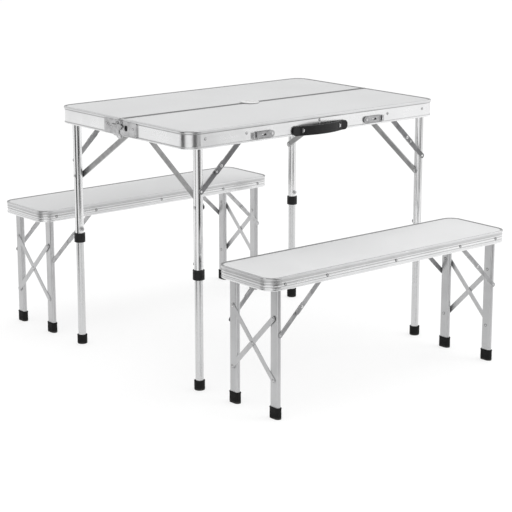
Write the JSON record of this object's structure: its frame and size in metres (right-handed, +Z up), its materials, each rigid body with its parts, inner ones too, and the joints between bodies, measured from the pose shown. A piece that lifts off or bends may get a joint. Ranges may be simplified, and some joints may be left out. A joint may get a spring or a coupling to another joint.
{
  "type": "folding picnic table with benches",
  "caption": "Suitcase-style folding picnic table on telescopic legs, with an umbrella hole and a pair of loose folding benches.",
  "frame": {"origin": "on the ground under the middle of the table, with the set standing open for use", "axes": "+X along the table and the benches to the right, +Y from the front bench to the back bench, +Z up"},
  "size_m": [0.914, 1.234, 0.7027],
  "materials": {
    "board": "matt white melamine on thin fibreboard",
    "bench_seat": "matt white melamine on thin fibreboard",
    "rim": "satin anodised extrusion",
    "bench_rim": "satin anodised extrusion",
    "fittings": "zinc-plated",
    "handle": "moulded, fine texture",
    "latch": "zinc-plated",
    "lever": "zinc-plated",
    "cap": "moulded",
    "leg": "satin, fluted",
    "collar": "moulded",
    "lower_tube": "satin",
    "foot": "matt",
    "button": "plated",
    "brace": "zinc-plated, dull",
    "bench_leg": "satin",
    "bench_foot": "matt",
    "bench_brace": "zinc-plated, dull"
  },
  "bodies": {
    "front_half": {"front_board": "board", "front_rim": "rim", "front_fittings": "fittings", "handle": "handle"},
    "back_half": {"back_board": "board", "back_rim": "rim", "back_fittings": "fittings"},
    "latch_left": {"latch_left": "latch"},
    "lock_lever_left": {"lock_lever_left": "lever"},
    "latch_right": {"latch_right": "latch"},
    "lock_lever_right": {"lock_lever_right": "lever"},
    "umbrella_cap": {"umbrella_cap": "cap"},
    "front_left_leg": {"front_left_leg": "leg", "front_left_leg_collar": "collar"},
    "front_left_lower_tube": {"front_left_lower_tube": "lower_tube", "front_left_foot": "foot"},
    "front_left_snap_button": {"front_left_snap_button": "button"},
    "front_left_brace_upper": {"front_left_brace_upper": "brace"},
    "front_left_brace_lower": {"front_left_brace_lower": "brace"},
    "front_right_leg": {"front_right_leg": "leg", "front_right_leg_collar": "collar"},
    "front_right_lower_tube": {"front_right_lower_tube": "lower_tube", "front_right_foot": "foot"},
    "front_right_snap_button": {"front_right_snap_button": "button"},
    "front_right_brace_upper": {"front_right_brace_upper": "brace"},
    "front_right_brace_lower": {"front_right_brace_lower": "brace"},
    "back_left_leg": {"back_left_leg": "leg", "back_left_leg_collar": "collar"},
    "back_left_lower_tube": {"back_left_lower_tube": "lower_tube", "back_left_foot": "foot"},
    "back_left_snap_button": {"back_left_snap_button": "button"},
    "back_left_brace_upper": {"back_left_brace_upper": "brace"},
    "back_left_brace_lower": {"back_left_brace_lower": "brace"},
    "back_right_leg": {"back_right_leg": "leg", "back_right_leg_collar": "collar"},
    "back_right_lower_tube": {"back_right_lower_tube": "lower_tube", "back_right_foot": "foot"},
    "back_right_snap_button": {"back_right_snap_button": "button"},
    "back_right_brace_upper": {"back_right_brace_upper": "brace"},
    "back_right_brace_lower": {"back_right_brace_lower": "brace"},
    "front_bench": {"front_bench_seat": "bench_seat", "front_bench_rim": "bench_rim"},
    "front_bench_left_legs": {"front_bench_left_legs": "bench_leg", "front_bench_left_feet": "bench_foot"},
    "front_bench_left_brace_upper": {"front_bench_left_brace_upper": "bench_brace"},
    "front_bench_left_brace_lower": {"front_bench_left_brace_lower": "bench_brace"},
    "front_bench_right_legs": {"front_bench_right_legs": "bench_leg", "front_bench_right_feet": "bench_foot"},
    "front_bench_right_brace_upper": {"front_bench_right_brace_upper": "bench_brace"},
    "front_bench_right_brace_lower": {"front_bench_right_brace_lower": "bench_brace"},
    "back_bench": {"back_bench_seat": "bench_seat", "back_bench_rim": "bench_rim"},
    "back_bench_left_legs": {"back_bench_left_legs": "bench_leg", "back_bench_left_feet": "bench_foot"},
    "back_bench_left_brace_upper": {"back_bench_left_brace_upper": "bench_brace"},
    "back_bench_left_brace_lower": {"back_bench_left_brace_lower": "bench_brace"},
    "back_bench_right_legs": {"back_bench_right_legs": "bench_leg", "back_bench_right_feet": "bench_foot"},
    "back_bench_right_brace_upper": {"back_bench_right_brace_upper": "bench_brace"},
    "back_bench_right_brace_lower": {"back_bench_right_brace_lower": "bench_brace"}
  },
  "joints": [
    {"name": "table_fold", "type": "hinge", "parent": "front_half", "child": "back_half", "pos_m": [0, 0, 0.652], "axis": [-1, 0, 0], "range_deg": [0, 40]},
    {"name": "latch_left_swing", "type": "hinge", "parent": "front_half", "child": "latch_left", "pos_m": [-0.172, -0.301, 0.669], "axis": [0, -1, 0], "range_deg": [0, 90]},
    {"name": "lock_lever_left_lift", "type": "hinge", "parent": "back_half", "child": "lock_lever_left", "pos_m": [-0.4546, 0.034, 0.6765], "axis": [-1, 0, 0], "range_deg": [0, 60]},
    {"name": "latch_right_swing", "type": "hinge", "parent": "front_half", "child": "latch_right", "pos_m": [0.172, -0.301, 0.669], "axis": [0, 1, 0], "range_deg": [0, 90]},
    {"name": "lock_lever_right_lift", "type": "hinge", "parent": "back_half", "child": "lock_lever_right", "pos_m": [0.4546, 0.034, 0.6765], "axis": [-1, 0, 0], "range_deg": [0, 60]},
    {"name": "umbrella_cap_lift", "type": "slide", "parent": "front_half", "child": "umbrella_cap", "axis": [0, 0, 1], "range_m": [0, 0.06]},
    {"name": "front_left_leg_fold", "type": "hinge", "parent": "front_half", "child": "front_left_leg", "pos_m": [-0.403, -0.278, 0.667], "axis": [0, -1, 0], "range_deg": [0, 90]},
    {"name": "front_left_lower_tube_slide", "type": "slide", "parent": "front_left_leg", "child": "front_left_lower_tube", "axis": [0, 0, 1], "range_m": [0, 0.272]},
    {"name": "front_left_snap_button_press", "type": "slide", "parent": "front_left_leg", "child": "front_left_snap_button", "axis": [0, -1, 0], "range_m": [0, 0.0015], "stiffness_N_per_m": 400, "springref_m": -0.001},
    {"name": "front_left_brace_upper_turn", "type": "hinge", "parent": "front_half", "child": "front_left_brace_upper", "pos_m": [-0.268, -0.278, 0.667], "axis": [0, 1, 0], "range_deg": [0, 43.35]},
    {"name": "front_left_brace_lower_turn", "type": "hinge", "parent": "front_left_leg", "child": "front_left_brace_lower", "pos_m": [-0.403, -0.278, 0.54], "axis": [0, -1, 0], "range_deg": [0, 46.85]},
    {"name": "front_right_leg_fold", "type": "hinge", "parent": "front_half", "child": "front_right_leg", "pos_m": [0.403, -0.278, 0.667], "axis": [0, 1, 0], "range_deg": [0, 90]},
    {"name": "front_right_lower_tube_slide", "type": "slide", "parent": "front_right_leg", "child": "front_right_lower_tube", "axis": [0, 0, 1], "range_m": [0, 0.272]},
    {"name": "front_right_snap_button_press", "type": "slide", "parent": "front_right_leg", "child": "front_right_snap_button", "axis": [0, -1, 0], "range_m": [0, 0.0015], "stiffness_N_per_m": 400, "springref_m": -0.001},
    {"name": "front_right_brace_upper_turn", "type": "hinge", "parent": "front_half", "child": "front_right_brace_upper", "pos_m": [0.268, -0.278, 0.667], "axis": [0, -1, 0], "range_deg": [0, 43.35]},
    {"name": "front_right_brace_lower_turn", "type": "hinge", "parent": "front_right_leg", "child": "front_right_brace_lower", "pos_m": [0.403, -0.278, 0.54], "axis": [0, 1, 0], "range_deg": [0, 46.85]},
    {"name": "back_left_leg_fold", "type": "hinge", "parent": "back_half", "child": "back_left_leg", "pos_m": [-0.403, 0.278, 0.667], "axis": [0, -1, 0], "range_deg": [0, 90]},
    {"name": "back_left_lower_tube_slide", "type": "slide", "parent": "back_left_leg", "child": "back_left_lower_tube", "axis": [0, 0, 1], "range_m": [0, 0.272]},
    {"name": "back_left_snap_button_press", "type": "slide", "parent": "back_left_leg", "child": "back_left_snap_button", "axis": [0, 1, 0], "range_m": [0, 0.0015], "stiffness_N_per_m": 400, "springref_m": -0.001},
    {"name": "back_left_brace_upper_turn", "type": "hinge", "parent": "back_half", "child": "back_left_brace_upper", "pos_m": [-0.268, 0.278, 0.667], "axis": [0, 1, 0], "range_deg": [0, 43.35]},
    {"name": "back_left_brace_lower_turn", "type": "hinge", "parent": "back_left_leg", "child": "back_left_brace_lower", "pos_m": [-0.403, 0.278, 0.54], "axis": [0, -1, 0], "range_deg": [0, 46.85]},
    {"name": "back_right_leg_fold", "type": "hinge", "parent": "back_half", "child": "back_right_leg", "pos_m": [0.403, 0.278, 0.667], "axis": [0, 1, 0], "range_deg": [0, 90]},
    {"name": "back_right_lower_tube_slide", "type": "slide", "parent": "back_right_leg", "child": "back_right_lower_tube", "axis": [0, 0, 1], "range_m": [0, 0.272]},
    {"name": "back_right_snap_button_press", "type": "slide", "parent": "back_right_leg", "child": "back_right_snap_button", "axis": [0, 1, 0], "range_m": [0, 0.0015], "stiffness_N_per_m": 400, "springref_m": -0.001},
    {"name": "back_right_brace_upper_turn", "type": "hinge", "parent": "back_half", "child": "back_right_brace_upper", "pos_m": [0.268, 0.278, 0.667], "axis": [0, -1, 0], "range_deg": [0, 43.35]},
    {"name": "back_right_brace_lower_turn", "type": "hinge", "parent": "back_right_leg", "child": "back_right_brace_lower", "pos_m": [0.403, 0.278, 0.54], "axis": [0, 1, 0], "range_deg": [0, 46.85]},
    {"name": "front_bench_move", "type": "slide", "parent": "front_half", "child": "front_bench", "axis": [0, -1, 0], "range_m": [0, 0.25]},
    {"name": "front_bench_left_legs_fold", "type": "hinge", "parent": "front_bench", "child": "front_bench_left_legs", "pos_m": [-0.396, -0.501, 0.355], "axis": [0, -1, 0], "range_deg": [0, 90]},
    {"name": "front_bench_left_brace_upper_turn", "type": "hinge", "parent": "front_bench", "child": "front_bench_left_brace_upper", "pos_m": [-0.254, -0.501, 0.355], "axis": [0, 1, 0], "range_deg": [0, 43.44]},
    {"name": "front_bench_left_brace_lower_turn", "type": "hinge", "parent": "front_bench_left_legs", "child": "front_bench_left_brace_lower", "pos_m": [-0.396, -0.501, 0.221], "axis": [0, -1, 0], "range_deg": [0, 46.76]},
    {"name": "front_bench_right_legs_fold", "type": "hinge", "parent": "front_bench", "child": "front_bench_right_legs", "pos_m": [0.384, -0.501, 0.355], "axis": [0, 1, 0], "range_deg": [0, 90]},
    {"name": "front_bench_right_brace_upper_turn", "type": "hinge", "parent": "front_bench", "child": "front_bench_right_brace_upper", "pos_m": [0.242, -0.501, 0.355], "axis": [0, -1, 0], "range_deg": [0, 43.44]},
    {"name": "front_bench_right_brace_lower_turn", "type": "hinge", "parent": "front_bench_right_legs", "child": "front_bench_right_brace_lower", "pos_m": [0.384, -0.501, 0.221], "axis": [0, 1, 0], "range_deg": [0, 46.76]},
    {"name": "back_bench_move", "type": "slide", "parent": "front_half", "child": "back_bench", "axis": [0, 1, 0], "range_m": [0, 0.25]},
    {"name": "back_bench_left_legs_fold", "type": "hinge", "parent": "back_bench", "child": "back_bench_left_legs", "pos_m": [-0.406, 0.513, 0.355], "axis": [0, -1, 0], "range_deg": [0, 90]},
    {"name": "back_bench_left_brace_upper_turn", "type": "hinge", "parent": "back_bench", "child": "back_bench_left_brace_upper", "pos_m": [-0.264, 0.513, 0.355], "axis": [0, 1, 0], "range_deg": [0, 43.44]},
    {"name": "back_bench_left_brace_lower_turn", "type": "hinge", "parent": "back_bench_left_legs", "child": "back_bench_left_brace_lower", "pos_m": [-0.406, 0.513, 0.221], "axis": [0, -1, 0], "range_deg": [0, 46.76]},
    {"name": "back_bench_right_legs_fold", "type": "hinge", "parent": "back_bench", "child": "back_bench_right_legs", "pos_m": [0.374, 0.513, 0.355], "axis": [0, 1, 0], "range_deg": [0, 90]},
    {"name": "back_bench_right_brace_upper_turn", "type": "hinge", "parent": "back_bench", "child": "back_bench_right_brace_upper", "pos_m": [0.232, 0.513, 0.355], "axis": [0, -1, 0], "range_deg": [0, 43.44]},
    {"name": "back_bench_right_brace_lower_turn", "type": "hinge", "parent": "back_bench_right_legs", "child": "back_bench_right_brace_lower", "pos_m": [0.374, 0.513, 0.221], "axis": [0, 1, 0], "range_deg": [0, 46.76]}
  ],
  "couplings": [
    {"joint": "front_left_brace_upper_turn", "follows": "front_left_leg_fold", "ratio": 0.48057},
    {"joint": "front_left_brace_lower_turn", "follows": "front_left_leg_fold", "ratio": 0.51943},
    {"joint": "front_right_brace_upper_turn", "follows": "front_right_leg_fold", "ratio": 0.48057},
    {"joint": "front_right_brace_lower_turn", "follows": "front_right_leg_fold", "ratio": 0.51943},
    {"joint": "back_left_brace_upper_turn", "follows": "back_left_leg_fold", "ratio": 0.48057},
    {"joint": "back_left_brace_lower_turn", "follows": "back_left_leg_fold", "ratio": 0.51943},
    {"joint": "back_right_brace_upper_turn", "follows": "back_right_leg_fold", "ratio": 0.48057},
    {"joint": "back_right_brace_lower_turn", "follows": "back_right_leg_fold", "ratio": 0.51943},
    {"joint": "front_bench_left_brace_upper_turn", "follows": "front_bench_left_legs_fold", "ratio": 0.48155},
    {"joint": "front_bench_left_brace_lower_turn", "follows": "front_bench_left_legs_fold", "ratio": 0.51845},
    {"joint": "front_bench_right_brace_upper_turn", "follows": "front_bench_right_legs_fold", "ratio": 0.48155},
    {"joint": "front_bench_right_brace_lower_turn", "follows": "front_bench_right_legs_fold", "ratio": 0.51845},
    {"joint": "back_bench_left_brace_upper_turn", "follows": "back_bench_left_legs_fold", "ratio": 0.48155},
    {"joint": "back_bench_left_brace_lower_turn", "follows": "back_bench_left_legs_fold", "ratio": 0.51845},
    {"joint": "back_bench_right_brace_upper_turn", "follows": "back_bench_right_legs_fold", "ratio": 0.48155},
    {"joint": "back_bench_right_brace_lower_turn", "follows": "back_bench_right_legs_fold", "ratio": 0.51845}
  ]
}
